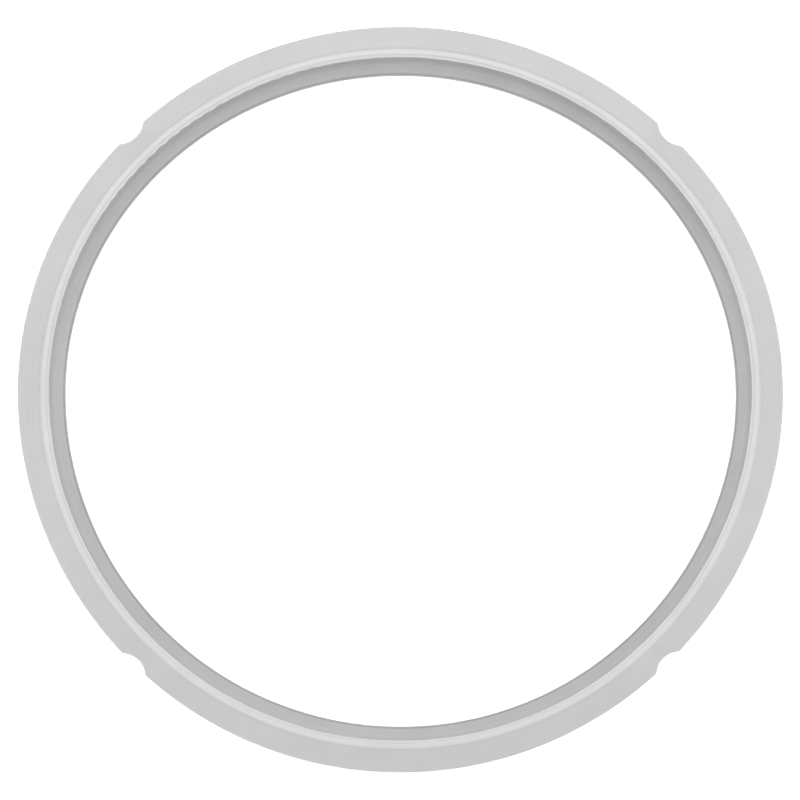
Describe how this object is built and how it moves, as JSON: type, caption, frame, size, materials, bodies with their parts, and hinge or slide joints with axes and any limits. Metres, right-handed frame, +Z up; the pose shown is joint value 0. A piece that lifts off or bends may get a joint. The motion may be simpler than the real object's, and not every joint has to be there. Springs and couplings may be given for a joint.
{
  "type": "pressure cooker sealing ring",
  "caption": "Translucent silicone lid gasket with a notched outer flange, a raised bead, a thin upper lip and a sloping lower lip, lying loose on that lip.",
  "frame": {"origin": "centre of the outline, at the surface the ring lies on", "axes": "+Z up, out of the bead's crest on the notched side; +X along the slightly longer diameter; the notches are at 45 degrees to X and Y"},
  "size_m": [0.2524, 0.2466, 0.013],
  "materials": {
    "silicone": "translucent white silicone rubber, satin, faintly cloudy"
  },
  "bodies": {
    "root": {"sealing_ring": "silicone"}
  },
  "joints": []
}
